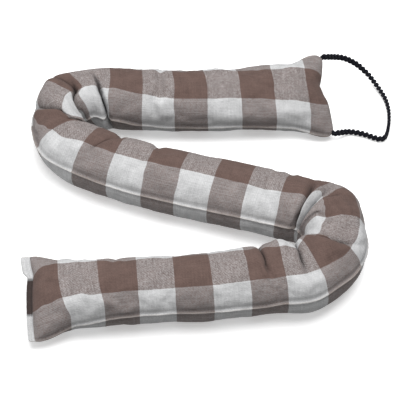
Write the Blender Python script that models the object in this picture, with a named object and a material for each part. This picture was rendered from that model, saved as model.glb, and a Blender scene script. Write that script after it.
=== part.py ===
"""Draught excluder: a filled gingham tube lying in an S, with a plaited cord loop at one end.

Lengths are in millimetres and angles in degrees until mesh_object turns them into metres.
The tube is worked out from its spine, the line through its middle as seen from above. "at" is
a distance along the spine from the cord end. "angle" goes round the tube from its top line,
positive to the left of the way along, which is the front of the first and the last leg.
"""
from typing import NamedTuple

import bpy
import numpy as np

# Casing: two panels sewn along both sides
PANEL_WIDTH = 80.0
LAID_LENGTH = 806.0
SEAM_RISE = 1.4
SEAM_GUARD = 3.0
AXIS_HEIGHT = 23.2
SQUARENESS = 2.15
CHECK_LINE = 14.75
SEAM_PART = 0.37

# Flat ends
END_SHIFT_REACH = 30.0
PINCH_REACH = 13.0
PINCH_EDGE = 1.15
FLAT_SHARPENING = 0.5

# Hem past the closing end, wider near the back corner
HEM_WIDTH = 5.8
HEM_FLARE = 3.0
FLARE_FROM = 0.42
FLARE_OVER = 0.18
HEM_CORNER_POWER = 24

# Spine of the laid tube
SPINE_STEP = 0.5
SPINE_START = (115.5, 108.0)
SPINE_HEADING = 184.8

# Grid of the solid
POINTS_PER_PANEL = 12
LEG_STEP = 6.5
BEND_STEP = 2.6
BENDS = ((180.0, 318.0), (470.0, 626.0))
END_STEPS = 7

# Plaited cord
CORD_WIDTH = 6.5
CORD_THICKNESS = 3.4
PLAIT_PITCH = 9.6
PLAIT_STRANDS = 3
STRAND_RADIUS = 1.0
STRAND_POINT = 0.16
CORD_STEPS_PER_PITCH = 9
CORD_SIDES = 10
CORD_INSET = 2.6
CORD_LEAD = 4.0
ROUTE_STEPS = 24
CORE_SHARE = 0.8
FLOOR_GAP = 0.05
GAP = 0.3


class Turn(NamedTuple):
    """A stretch over which the spine changes heading, positive to the left."""

    start: float
    length: float
    degrees: float


class Section(NamedTuple):
    """Half sizes of the tube's section at a place on the spine."""

    at: float
    left: float
    right: float
    half_height: float


class Roll(NamedTuple):
    """How far the cloth is turned round the tube, at its check lines and at its side seams.

    The last two columns turn the check line of one side further.
    """

    at: float
    checks: float
    seams: float
    left: float = 0.0
    right: float = 0.0


class End(NamedTuple):
    """A flat sewn end: the filled shape closes to a straight seam over its reach."""

    reach: float
    half_width: float
    half_thickness: float
    lean: float
    height: float
    lean_reach: float
    skew: float
    extend: float
    ear_left: float
    ear_right: float
    corner: float
    pinch: float
    pinch_at: float
    pinch_half: float


class Hem(NamedTuple):
    """One line of the closing hem: its share of the hem's width, and its upper and lower height."""

    share: float
    upper: float
    lower: float


class Fold(NamedTuple):
    """A trough or ridge: how far it stands out, and how far it drags the cloth along."""

    name: str
    at: float
    angle: float
    length: float
    spread: float
    out: float
    drag: float
    slant: float
    flare: float = 0.0
    edge: float = 2.0


TURNS = (
    Turn(60.0, 90.0, -6.5),
    Turn(184.0, 126.0, 150.0),
    Turn(276.0, 92.0, 15.0),
    Turn(477.0, 132.0, -154.5),
    Turn(629.0, 78.0, -4.0),
    Turn(735.0, 65.0, -2.5),
)

SECTIONS = (
    Section(0.0, 33.0, 32.0, 21.0),
    Section(30.0, 33.0, 32.0, 21.0),
    Section(80.0, 31.0, 28.5, 23.5),
    Section(150.0, 30.5, 26.5, 25.0),
    Section(205.0, 29.5, 28.5, 25.0),
    Section(242.0, 18.0, 29.5, 25.0),
    Section(262.0, 18.0, 27.0, 25.0),
    Section(300.0, 27.0, 29.0, 25.5),
    Section(400.0, 26.5, 31.0, 25.5),
    Section(480.0, 27.0, 30.5, 25.5),
    Section(515.0, 32.0, 27.0, 25.5),
    Section(545.0, 28.5, 23.5, 25.0),
    Section(575.0, 30.0, 23.5, 25.0),
    Section(612.0, 30.0, 28.0, 25.0),
    Section(660.0, 29.5, 28.0, 25.0),
    Section(700.0, 27.5, 27.5, 24.8),
    Section(745.0, 27.0, 28.5, 24.0),
    Section(768.0, 27.3, 30.5, 22.0),
    Section(786.0, 27.5, 33.0, 20.0),
    Section(806.0, 27.5, 33.0, 20.0),
)

ROLLS = (
    Roll(0.0, 0.0, 0.0),
    Roll(30.0, 0.0, 0.0),
    Roll(80.0, 1.0, 9.0),
    Roll(140.0, 3.0, 11.0),
    Roll(166.0, -3.0, 6.0),
    Roll(195.0, -14.0, -6.0),
    Roll(223.0, -23.0, -10.0),
    Roll(234.0, -30.0, -8.0),
    Roll(254.0, -31.0, -2.0),
    Roll(262.0, -20.0, 6.0, -10.0),
    Roll(271.5, -2.0, 11.0, -20.0),
    Roll(275.4, 6.0, 12.0, 21.0),
    Roll(280.0, 8.0, 12.0, 16.0),
    Roll(303.0, 21.0, 14.5, 4.0),
    Roll(360.0, 21.0, 13.0),
    Roll(480.0, 20.0, 15.0),
    Roll(503.0, 25.0, 14.5),
    Roll(509.0, 26.0, 14.5, 0.0, 20.0),
    Roll(516.0, 27.5, 14.0, 0.0, 6.0),
    Roll(522.0, 28.0, 14.0),
    Roll(532.0, 20.0, 8.0),
    Roll(545.0, 8.0, 0.0),
    Roll(558.0, 4.0, -8.0),
    Roll(575.0, -2.0, -15.0),
    Roll(592.0, -2.0, -12.0, 0.0, 10.0),
    Roll(606.0, -2.0, -10.0, 0.0, 15.0),
    Roll(620.0, -2.0, -6.0),
    Roll(720.0, 0.0, -6.0),
    Roll(738.0, 0.0, -4.0),
    Roll(756.0, -4.0, -1.0),
    Roll(770.0, -12.0, 0.0),
    Roll(784.0, -16.0, 0.0),
    Roll(796.0, -12.0, 0.0),
    Roll(806.0, -4.0, 0.0),
)

CORD_END = End(reach=36.0, half_width=40.5, half_thickness=1.1, lean=20.0, height=21.0, lean_reach=90.0,
               skew=0.95, extend=1.5, ear_left=36.0, ear_right=34.0, corner=7.0,
               pinch=7.4, pinch_at=-0.17, pinch_half=0.40)
CLOSED_END = End(reach=34.0, half_width=37.0, half_thickness=1.2, lean=15.0, height=20.0, lean_reach=70.0,
                 skew=-2.3, extend=3.5, ear_left=34.0, ear_right=22.0, corner=2.0,
                 pinch=2.4, pinch_at=-0.45, pinch_half=0.35)

HEM_LINES = (
    Hem(0.15, 0.3, 1.4),
    Hem(0.55, 0.7, 1.4),
    Hem(1.0, 0.2, 0.9),
)

FOLDS = (
    Fold("dent over the first leg", 150.0, 4.0, 4.2, 38.0, -3.2, 0.0, 2.0),
    Fold("swell below the dent", 147.0, 56.0, 8.0, 20.0, 3.2, 0.0, -8.0),
    Fold("hollow round the swell", 156.0, 50.0, 3.0, 22.0, -2.4, 0.0, -8.0),
    Fold("first tuck", 202.5, 55.0, 3.0, 60.0, -8.5, 0.0, -9.0, 1.0, 1.3),
    Fold("swell before the first tuck", 191.0, 62.0, 9.0, 44.0, 1.4, 3.0, 0.0),
    Fold("swell between the tucks", 224.0, 56.0, 11.0, 40.0, 3.4, 0.0, 14.0),
    Fold("cloth drawn into the second tuck", 226.0, 56.0, 14.0, 40.0, 0.0, 7.0, 0.0),
    Fold("second tuck", 238.5, 44.0, 3.0, 54.0, -8.5, 0.0, 18.0, 0.5, 1.3),
    Fold("swell after the second tuck", 254.0, 34.0, 6.0, 34.0, 2.4, 0.0, 20.0),
    Fold("crease over the shoulder", 229.0, -20.0, 3.0, 36.0, -4.6, 0.0, -5.0, 0.0, 1.3),
    Fold("swell after the shoulder", 241.0, -12.0, 8.0, 44.0, 1.6, 0.0, 0.0),
    Fold("back corner of the first bend", 231.5, -72.0, 10.0, 48.0, 6.6, 0.0, 0.0),
    Fold("low corner of the first bend", 281.0, -95.0, 12.0, 42.0, 2.5, 0.0, 0.0),
    Fold("belly over the band", 246.5, -34.0, 6.0, 44.0, 1.6, -3.0, 14.0),
    Fold("band across the bend", 253.5, -34.0, 3.0, 46.0, -5.6, 0.0, 12.0, 0.0, 1.4),
    Fold("cloth drawn over the band", 259.0, 31.0, 13.0, 26.0, 0.0, 6.5, 0.0),
    Fold("tuck at the band's end", 271.0, 30.0, 3.0, 26.0, -3.5, 0.0, 6.0),
    Fold("ridge past the band", 259.5, -32.0, 3.6, 36.0, 2.4, -1.8, 12.0),
    Fold("soft crease on the second leg", 316.0, 2.0, 3.6, 24.0, -1.4, 0.0, 20.0, 0.0, 1.6),
    Fold("dip along the back", 325.0, 52.0, 4.0, 30.0, -1.8, 0.0, 0.0),
    Fold("dip further along the back", 362.0, 50.0, 5.0, 30.0, -1.6, 0.0, 0.0),
    Fold("swell before the deep tuck", 494.0, -40.0, 8.0, 50.0, 1.8, 3.0, 0.0),
    Fold("deep tuck", 502.5, -32.0, 3.0, 54.0, -8.5, 0.0, -4.0, 0.0, 1.3),
    Fold("flap between the tucks", 507.5, -26.0, 2.4, 48.0, 3.0, -1.0, -4.0),
    Fold("shallow tuck", 512.0, -26.0, 3.0, 48.0, -7.0, 0.0, -3.0, 0.0, 1.3),
    Fold("inner cloth drawn back", 533.0, -44.0, 9.0, 24.0, 0.0, -4.5, 0.0),
    Fold("swell after the tucks", 523.0, -34.0, 7.0, 44.0, 2.4, 0.0, 0.0),
    Fold("nick above the tucks", 517.0, 20.0, 3.0, 14.0, -2.0, 0.0, 10.0, 0.0, 1.5),
    Fold("back corner of the second bend", 517.0, 78.0, 10.0, 48.0, 4.0, 0.0, 0.0),
    Fold("front corner of the second bend", 590.0, 75.0, 15.0, 48.0, 5.0, 0.0, 0.0),
    Fold("edge across the bend", 562.5, -14.0, 3.0, 52.0, -6.6, 0.0, -16.0, 0.0, 1.4),
    Fold("full swell past the edge", 573.0, -20.0, 8.0, 46.0, 4.4, -4.0, -12.0),
    Fold("crease below the swell", 588.5, -26.0, 3.0, 50.0, -7.4, 0.0, 3.0, -0.3, 1.3),
    Fold("corner after the crease", 603.0, -50.0, 8.0, 40.0, 3.6, 0.0, 0.0),
    Fold("crease on the third leg", 620.0, -30.0, 3.0, 44.0, -6.0, 0.0, -3.0, 0.0, 1.3),
    Fold("ridge on the third leg", 623.5, 6.0, 2.8, 26.0, 1.5, 0.0, -18.0),
    Fold("back cloth drawn to the closed end", 772.0, -60.0, 20.0, 75.0, 0.0, 6.5, 0.0),
    Fold("front cloth drawn from the closed end", 772.0, 80.0, 20.0, 45.0, 0.0, -5.0, 0.0),
)

# Route of the cord from the back corner round to the front one, after its straight first points
CORD_ROUTE = (
    (127.0, 151.0, 27.5),
    (134.0, 153.0, 24.0),
    (141.0, 153.0, 20.0),
    (147.0, 152.0, 16.0),
    (152.5, 149.5, 12.0),
    (157.5, 145.5, 9.0),
    (162.0, 139.5, 6.5),
    (166.0, 132.5, 4.8),
    (169.5, 125.0, 3.9),
    (172.0, 116.0, 3.5),
    (173.0, 105.5, 3.5),
    (172.5, 94.5, 3.5),
    (171.0, 84.5, 3.5),
    (169.0, 76.5, 3.5),
    (166.5, 71.5, 3.5),
    (162.5, 69.8, 3.5),
    (157.0, 71.5, 3.5),
    (150.0, 75.0, 3.5),
    (142.0, 77.5, 3.7),
    (134.0, 78.0, 4.3),
)


def smooth(t):
    """Ease from 0 to 1 with level ends: 3t^2 - 2t^3."""
    t = np.clip(t, 0.0, 1.0)
    return t * t * (3.0 - 2.0 * t)


def along_table(table, name, s):
    """Read a column of a table at places s, eased between its rows."""
    at = np.array([row.at for row in table])
    value = np.array([getattr(row, name) for row in table])
    k = np.clip(np.searchsorted(at, s, side="right") - 1, 0, len(at) - 2)
    return value[k] + (value[k + 1] - value[k]) * smooth((s - at[k]) / (at[k + 1] - at[k]))


def spine(s):
    """Place and heading of the spine: the heading eases through each turn, and is summed up."""
    fine = np.arange(0.0, LAID_LENGTH + SPINE_STEP, SPINE_STEP)
    heading = np.full(fine.shape, SPINE_HEADING)
    for turn in TURNS:
        heading = heading + turn.degrees * smooth((fine - turn.start) / turn.length)
    heading = np.radians(heading)
    middle = 0.5 * (heading[1:] + heading[:-1])
    x = SPINE_START[0] + np.concatenate([[0.0], np.cumsum(np.cos(middle) * SPINE_STEP)])
    y = SPINE_START[1] + np.concatenate([[0.0], np.cumsum(np.sin(middle) * SPINE_STEP)])
    return np.interp(s, fine, x), np.interp(s, fine, y), np.interp(s, fine, heading)


def across_panel(v):
    """A cloth line's share of its panel's half width, from -1 to 1 on either panel."""
    panel = 0.5 * PANEL_WIDTH
    return np.where(np.abs(v) > panel, np.sign(v) * PANEL_WIDTH - v, v) / panel


def round_the_tube(s, v, flatness):
    """Angle of a cloth line v round the tube, in degrees.

    On the filled tube the angle grows evenly with v. On a flat end the cloth lies straight
    across, so there the angle's sine does.
    """
    panel = 0.5 * PANEL_WIDTH
    even = 90.0 * v / panel
    across = np.degrees(np.arcsin(np.clip(across_panel(v), -1.0, 1.0)))
    across = np.where(np.abs(v) > panel, np.sign(v) * 180.0 - across, across)
    to_seam = smooth((np.abs(v) / panel - SEAM_PART) / (1.0 - SEAM_PART))
    beside = smooth(np.abs(v) / CHECK_LINE) * (1.0 - to_seam)
    further = np.where(v > 0.0, along_table(ROLLS, "left", s), along_table(ROLLS, "right", s))
    turned = along_table(ROLLS, "checks", s)
    turned = turned + (along_table(ROLLS, "seams", s) - turned) * to_seam + further * beside
    return even + (across - even) * flatness + turned


def fold_moves(s, angle):
    """Sum of the folds: how far each point moves out, and how far along the spine."""
    out = np.zeros(np.broadcast(s, angle).shape)
    drag = np.zeros(out.shape)
    for fold in FOLDS:
        turned = (angle - fold.angle) / 90.0
        length = fold.length * np.maximum(1.0 + fold.flare * turned, 0.3)
        apart = (s - fold.at - fold.slant * turned) / length
        weight = np.exp(-(np.abs(apart) ** fold.edge))
        weight = weight * np.exp(-(((angle - fold.angle) / fold.spread) ** 4))
        out = out + fold.out * weight
        drag = drag + fold.drag * weight
    return out, drag


def end_outward(end, distance, flat):
    """How far past its plain place a flat end stands: skewed, rounded at its corners, notched."""
    near = 1.0 - smooth(distance / END_SHIFT_REACH)
    from_corner = np.clip(1.0 - (1.0 - np.abs(flat)) * end.half_width / end.corner, 0.0, 1.0)
    rounding = 1.0 - np.sqrt(1.0 - from_corner**2)
    notch = np.exp(-(np.abs((flat - end.pinch_at) / end.pinch_half) ** PINCH_EDGE))
    outward = (end.extend + end.skew * flat - end.corner * rounding) * near
    return outward - end.pinch * notch * np.exp(-((distance / PINCH_REACH) ** 2))


def tube_points(s, v):
    """Points of the casing for places s along the spine and cloth lines v round it."""
    s = np.asarray(s, dtype=float)[:, None]
    v = np.asarray(v, dtype=float)[None, :]
    shape = np.broadcast(s, v).shape
    out, drag = fold_moves(s, round_the_tube(s, v, np.zeros(shape)))
    s = s + drag
    x, y, heading = spine(s)
    half_height = np.broadcast_to(along_table(SECTIONS, "half_height", s), shape)
    height = np.full(shape, AXIS_HEIGHT)
    lean = np.zeros(shape)
    flatness = np.zeros(shape)
    narrow = np.ones(shape)
    half_width = np.zeros(shape)
    shift = np.zeros(shape)
    flat = across_panel(v)
    left = np.broadcast_to(flat > 0.0, shape)
    for end, distance, way in ((CORD_END, s, 1.0), (CLOSED_END, LAID_LENGTH - s, -1.0)):
        filled = np.sqrt(1.0 - (1.0 - np.clip(distance / end.reach, 0.0, 1.0)) ** 2)
        half_height = end.half_thickness + (half_height - end.half_thickness) * filled
        ear = np.where(left, end.ear_left, end.ear_right)
        weight = smooth(1.0 - distance / ear)
        narrow = narrow - weight
        half_width = half_width + end.half_width * weight
        leaning = 1.0 - smooth(distance / end.lean_reach)
        height = height + (end.height - AXIS_HEIGHT) * leaning
        lean = lean + np.radians(end.lean) * leaning
        flatness = flatness + (1.0 - filled)
        shift = shift - way * end_outward(end, distance, flat)
    angle = round_the_tube(s, v, flatness)
    turn = np.radians(angle)
    side = np.where(np.sin(turn) > 0.0, along_table(SECTIONS, "left", s),
                    along_table(SECTIONS, "right", s))
    half_width = half_width + side * narrow
    power = 2.0 / SQUARENESS
    upright = power + FLAT_SHARPENING * flatness
    lateral = half_width * np.sign(np.sin(turn)) * np.abs(np.sin(turn)) ** power
    upward = half_height * np.sign(np.cos(turn)) * np.abs(np.cos(turn)) ** upright
    seam = np.isclose(np.abs(v), 0.5 * PANEL_WIDTH)
    out = out + np.where(seam, SEAM_RISE * (1.0 - flatness), 0.0)
    lateral = lateral + out * np.sin(turn)
    upward = upward + out * np.cos(turn) * (1.0 - flatness)
    across = lateral * np.cos(lean) + upward * np.sin(lean)
    rise = upward * np.cos(lean) - lateral * np.sin(lean)
    return np.stack([
        x - np.sin(heading) * across + np.cos(heading) * shift,
        y + np.cos(heading) * across + np.sin(heading) * shift,
        np.maximum(height + rise, 0.0),
    ], axis=-1)


def stations():
    """Places of the grid's rings: close at the ends, closer in the bends than in the legs."""
    ease = 1.0 - np.cos(np.linspace(0.0, 0.5 * np.pi, END_STEPS + 1))
    first = CORD_END.reach * ease
    last = LAID_LENGTH - CLOSED_END.reach * ease[::-1]
    places = [first]
    start = first[-1]
    for bend_start, bend_end in BENDS:
        places.append(np.linspace(start, bend_start, int((bend_start - start) / LEG_STEP) + 1)[1:])
        count = int((bend_end - bend_start) / BEND_STEP) + 1
        places.append(np.linspace(bend_start, bend_end, count)[1:])
        start = bend_end
    places.append(np.linspace(start, last[0], int((last[0] - start) / LEG_STEP) + 1)[1:-1])
    places.append(last)
    return np.concatenate(places)


def cloth_lines():
    """Cloth lines round the tube: both seams, a line close to each side of them, even between."""
    panel = 0.5 * PANEL_WIDTH
    inner = np.linspace(-panel + SEAM_GUARD, panel - SEAM_GUARD, POINTS_PER_PANEL)
    top = np.concatenate([[-panel], inner])
    return np.concatenate([top, top + PANEL_WIDTH])


def hem_rings(end_ring, lines):
    """Rings of the closing hem: the end seam's line moved out, with its own two faces."""
    half = len(lines) // 2
    top = end_ring[:half + 1]
    bottom = np.concatenate([end_ring[half:], end_ring[:1]])[::-1]
    middle = 0.5 * (top + bottom)
    across = lines[:half + 1] / (0.5 * PANEL_WIDTH)
    heading = spine(np.array([LAID_LENGTH]))[2][0]
    lean = np.radians(CLOSED_END.lean)
    way = np.array([np.cos(heading), np.sin(heading), 0.0])
    up = np.array([-np.sin(heading) * np.sin(lean), np.cos(heading) * np.sin(lean), np.cos(lean)])
    width = HEM_WIDTH + HEM_FLARE * smooth((-FLARE_FROM - across) / FLARE_OVER)
    closing = np.sqrt(np.clip(1.0 - np.abs(across) ** HEM_CORNER_POWER, 0.0, 1.0))[:, None]
    rings = []
    for line in HEM_LINES:
        out = middle + (width * line.share)[:, None] * way
        upper = out + line.upper * closing * up
        lower = out - line.lower * closing * up
        ring = np.concatenate([upper[:-1], lower[1:][::-1]])
        ring[:, 2] = np.maximum(ring[:, 2], 0.0)
        rings.append(ring)
    return rings


def casing_mesh():
    """Rings of the casing joined into one closed skin, its flat ends filled with strips."""
    lines = cloth_lines()
    rings = list(tube_points(stations(), lines))
    rings.extend(hem_rings(rings[-1], lines))
    points = np.concatenate(rings)
    count = len(lines)
    faces = []
    for ring in range(len(rings) - 1):
        base = ring * count
        for k in range(count):
            after = (k + 1) % count
            faces.append((base + k, base + count + k, base + count + after, base + after))
    last = (len(rings) - 1) * count
    for k in range(count // 2):
        one = (count - k) % count
        other = (count - k - 1) % count
        cap = list(dict.fromkeys([k, one, other, k + 1]))
        faces.append(tuple(reversed(cap)))
        faces.append(tuple(last + index for index in cap))
    return points, faces


def cord_corner(line):
    """Where the cord leaves the cord end: just inside its corner, a gap away from its face."""
    heading = spine(np.array([0.0]))[2][0]
    side = np.sign(line)
    clear = CORD_INSET + 0.5 * CORD_THICKNESS + GAP
    near = tube_points([0.0], [line, line - side * CORD_INSET, line - side * clear])[0]
    outward = -np.array([np.cos(heading), np.sin(heading), 0.0])
    start = near[1] + outward * (GAP + float(((near - near[1]) @ outward).max()))
    return start, outward


def cord_route():
    """Smooth curve through the cord's points, straight out of both corners."""
    panel = 0.5 * PANEL_WIDTH
    first, outward = cord_corner(-panel)
    last, _ = cord_corner(panel)
    lead = outward * CORD_LEAD
    knots = np.array([first, first + lead, *CORD_ROUTE, last + lead, last])
    before = np.vstack([first - lead, knots[:-1]])
    after = np.vstack([knots[1:], last - lead])
    slope = 0.5 * (after - before)
    t = np.linspace(0.0, 1.0, ROUTE_STEPS, endpoint=False)[:, None]
    pieces = []
    for k in range(len(knots) - 1):
        pieces.append((2 * t**3 - 3 * t**2 + 1) * knots[k] + (t**3 - 2 * t**2 + t) * slope[k]
                      + (-2 * t**3 + 3 * t**2) * knots[k + 1] + (t**3 - t**2) * slope[k + 1])
    pieces.append(knots[-1:])
    curve = np.vstack(pieces)
    length = np.concatenate([[0.0], np.cumsum(np.linalg.norm(np.diff(curve, axis=0), axis=1))])
    steps = int(round(length[-1] / PLAIT_PITCH * CORD_STEPS_PER_PITCH))
    even = np.linspace(0.0, length[-1], steps + 1)
    path = np.stack([np.interp(even, length, curve[:, axis]) for axis in range(3)], axis=-1)
    return path, even


def plait_outline(distance):
    """Radii of the plait's outline at one place, by looking out from its middle.

    Each strand swings across the width once and through the thickness twice in a pitch, and
    turns sharply at the edges. The outline is the furthest that a ray from the middle meets any
    of the three round strands.
    """
    swing = 0.5 * CORD_WIDTH - STRAND_RADIUS
    weave = 0.5 * CORD_THICKNESS - STRAND_RADIUS
    ray = 2.0 * np.pi * np.arange(CORD_SIDES) / CORD_SIDES
    way = np.stack([np.cos(ray), np.sin(ray)], axis=-1)
    phase = 2.0 * np.pi * (distance / PLAIT_PITCH + np.arange(PLAIT_STRANDS) / PLAIT_STRANDS)
    swung = swing * (np.sin(phase) - STRAND_POINT * np.sin(3.0 * phase)) / (1.0 + STRAND_POINT)
    centre = np.stack([swung, weave * np.sin(2.0 * phase)], axis=-1)
    ahead = way @ centre.T
    miss = (centre**2).sum(axis=-1)[None, :] - ahead**2
    reach = ahead + np.sqrt(np.maximum(STRAND_RADIUS**2 - miss, 0.0))
    reach = np.where(miss < STRAND_RADIUS**2, reach, 0.0)
    return np.maximum(reach.max(axis=1), CORE_SHARE * STRAND_RADIUS), way


def cord_mesh():
    """The plait's outline carried along the cord's route, standing on its edge, and closed."""
    path, distances = cord_route()
    tangent = np.gradient(path, axis=0)
    outward = cord_corner(0.5 * PANEL_WIDTH)[1]
    tangent[0] = outward
    tangent[-1] = -outward
    tangent = tangent / np.linalg.norm(tangent, axis=1, keepdims=True)
    up = np.array([0.0, 0.0, 1.0])
    rings = []
    for point, way, distance in zip(path, tangent, distances):
        radius, ray = plait_outline(distance)
        side = np.cross(up, way)
        side = side / np.linalg.norm(side)
        edge = np.cross(way, side)
        rings.append(point + radius[:, None] * (ray[:, :1] * edge + ray[:, 1:] * side))
    points = np.concatenate(rings)
    points[:, 2] = np.maximum(points[:, 2], FLOOR_GAP)
    faces = []
    for ring in range(len(rings) - 1):
        base = ring * CORD_SIDES
        for k in range(CORD_SIDES):
            after = (k + 1) % CORD_SIDES
            faces.append((base + k, base + CORD_SIDES + k, base + CORD_SIDES + after, base + after))
    faces.append(tuple(range(CORD_SIDES)))
    faces.append(tuple(reversed(range(len(points) - CORD_SIDES, len(points)))))
    return points, faces


def material(name, colour, roughness):
    """A plain cloth material for one piece."""
    made = bpy.data.materials.new(name)
    made.use_nodes = True
    shader = made.node_tree.nodes["Principled BSDF"]
    shader.inputs["Base Color"].default_value = (*colour, 1.0)
    shader.inputs["Roughness"].default_value = roughness
    shader.inputs["Metallic"].default_value = 0.0
    return made


def mesh_object(name, points, faces, origin, finish):
    """Turn millimetres into metres about the origin, and add the piece to the scene."""
    mesh = bpy.data.meshes.new(name)
    mesh.from_pydata(((points - origin) * 0.001).tolist(), [], faces)
    mesh.update()
    mesh.shade_smooth()
    mesh.materials.append(finish)
    made = bpy.data.objects.new(name, mesh)
    bpy.context.scene.collection.objects.link(made)
    return made


def main():
    """Clear the scene, then lay the casing and its cord about the casing's own middle."""
    for old in list(bpy.data.objects):
        bpy.data.objects.remove(old, do_unlink=True)
    casing, casing_faces = casing_mesh()
    low = casing.min(axis=0)
    high = casing.max(axis=0)
    origin = np.array([0.5 * (low[0] + high[0]), 0.5 * (low[1] + high[1]), 0.0])
    cloth = material("gingham_cloth", (0.42, 0.36, 0.34), 0.9)
    mesh_object("filled_casing", casing, casing_faces, origin, cloth)
    cord, cord_faces = cord_mesh()
    plait = material("plaited_cord", (0.015, 0.016, 0.02), 0.8)
    mesh_object("cord_loop", cord, cord_faces, origin, plait)


main()
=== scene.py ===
"""Looks of a draught excluder: a filled gingham tube laid in an S, with a plaited cord loop.

The tube is worked out from its spine, the line through its middle as seen from above. "at" is a
distance along the spine from the cord end. "angle" goes round the tube from its top line, positive
to the left of the way along, which is the front of the first and the last leg. Tables hold
millimetres and degrees, and meshes are made in metres.
"""
import logging
from dataclasses import dataclass, field
from enum import Enum
from typing import NamedTuple, Sequence

import bpy
import numpy as np
from mathutils import Matrix, Vector


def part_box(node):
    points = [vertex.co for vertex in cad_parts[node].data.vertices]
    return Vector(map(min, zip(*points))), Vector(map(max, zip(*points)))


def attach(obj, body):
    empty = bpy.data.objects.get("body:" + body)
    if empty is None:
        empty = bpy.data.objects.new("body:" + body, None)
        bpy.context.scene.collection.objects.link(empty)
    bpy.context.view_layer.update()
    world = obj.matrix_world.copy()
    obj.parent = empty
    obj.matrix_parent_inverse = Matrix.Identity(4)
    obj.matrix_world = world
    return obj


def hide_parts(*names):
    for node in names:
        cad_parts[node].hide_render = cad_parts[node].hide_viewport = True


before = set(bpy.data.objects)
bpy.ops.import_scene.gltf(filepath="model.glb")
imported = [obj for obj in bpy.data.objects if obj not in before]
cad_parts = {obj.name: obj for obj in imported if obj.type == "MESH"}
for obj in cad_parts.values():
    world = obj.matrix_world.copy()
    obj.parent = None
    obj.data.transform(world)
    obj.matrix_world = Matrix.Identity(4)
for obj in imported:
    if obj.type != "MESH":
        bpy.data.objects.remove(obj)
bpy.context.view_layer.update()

MM = 0.001
CASING_NODE = "filled_casing"
CORD_NODE = "cord_loop"
QUARTER_TURN = 90.0
SOFT_EDGE = 2.0
log = logging.getLogger("draught_excluder")


class Turn(NamedTuple):
    """A stretch over which the spine changes heading, positive to the left."""

    start: float
    length: float
    degrees: float


class Section(NamedTuple):
    """Half sizes of the tube's section at a place on the spine."""

    at: float
    left: float
    right: float
    half_height: float


class Roll(NamedTuple):
    """How far the cloth is turned round the tube, at its check lines and at its side seams.

    The last two columns turn the check line of one side further.
    """

    at: float
    checks: float
    seams: float
    left: float = 0.0
    right: float = 0.0


class Ease(NamedTuple):
    """A stretch of spine whose folds take up more cloth than its length."""

    start: float
    length: float
    extra: float


class End(NamedTuple):
    """A flat sewn end: the filled shape closes to a straight seam over its reach."""

    reach: float
    half_width: float
    half_thickness: float
    lean: float
    height: float
    lean_reach: float
    skew: float
    extend: float
    ear_left: float
    ear_right: float
    corner: float
    pinch: float
    pinch_at: float
    pinch_half: float


class Hem(NamedTuple):
    """One line of the closing hem: its share of the hem's width, and its upper and lower height."""

    share: float
    upper: float
    lower: float


class Fold(NamedTuple):
    """A trough or ridge: how far it stands out, and how far it drags the cloth along."""

    name: str
    at: float
    angle: float
    length: float
    spread: float
    out: float
    drag: float
    slant: float
    flare: float = 0.0
    edge: float = SOFT_EDGE


class Swell(NamedTuple):
    """Uneven waves of about one length: their height, length and seed."""

    height: float
    length: float
    seed: int

    def over(self, u: np.ndarray, v: np.ndarray) -> np.ndarray:
        """Height of the waves at each place on the cloth."""
        return self.height * waves(u, v, self.length, self.seed)


class Lamp(NamedTuple):
    """A square soft light: its place, side in metres, power in watts, and the point it faces."""

    name: str
    place: tuple[float, float, float]
    size: float
    power: float
    aim: tuple[float, float, float]


TURNS = (
    Turn(60.0, 90.0, -6.5),
    Turn(184.0, 126.0, 150.0),
    Turn(276.0, 92.0, 15.0),
    Turn(477.0, 132.0, -154.5),
    Turn(629.0, 78.0, -4.0),
    Turn(735.0, 65.0, -2.5),
)

SECTIONS = (
    Section(0.0, 33.0, 33.5, 21.0),
    Section(30.0, 33.0, 33.5, 21.4),
    Section(80.0, 31.0, 30.0, 23.8),
    Section(150.0, 30.5, 26.5, 25.0),
    Section(205.0, 29.5, 28.5, 25.0),
    Section(242.0, 18.0, 29.5, 25.0),
    Section(262.0, 18.0, 27.0, 25.0),
    Section(300.0, 27.0, 29.0, 25.5),
    Section(400.0, 26.5, 31.0, 25.5),
    Section(480.0, 27.0, 30.5, 25.5),
    Section(515.0, 32.0, 27.0, 25.5),
    Section(545.0, 28.5, 23.5, 25.0),
    Section(575.0, 30.0, 23.5, 25.0),
    Section(612.0, 30.0, 28.0, 25.0),
    Section(660.0, 29.5, 28.0, 25.0),
    Section(700.0, 27.5, 27.5, 24.8),
    Section(745.0, 27.0, 28.5, 24.0),
    Section(768.0, 27.3, 30.5, 22.0),
    Section(786.0, 27.5, 33.0, 20.0),
    Section(806.0, 27.5, 33.0, 20.0),
)

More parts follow.
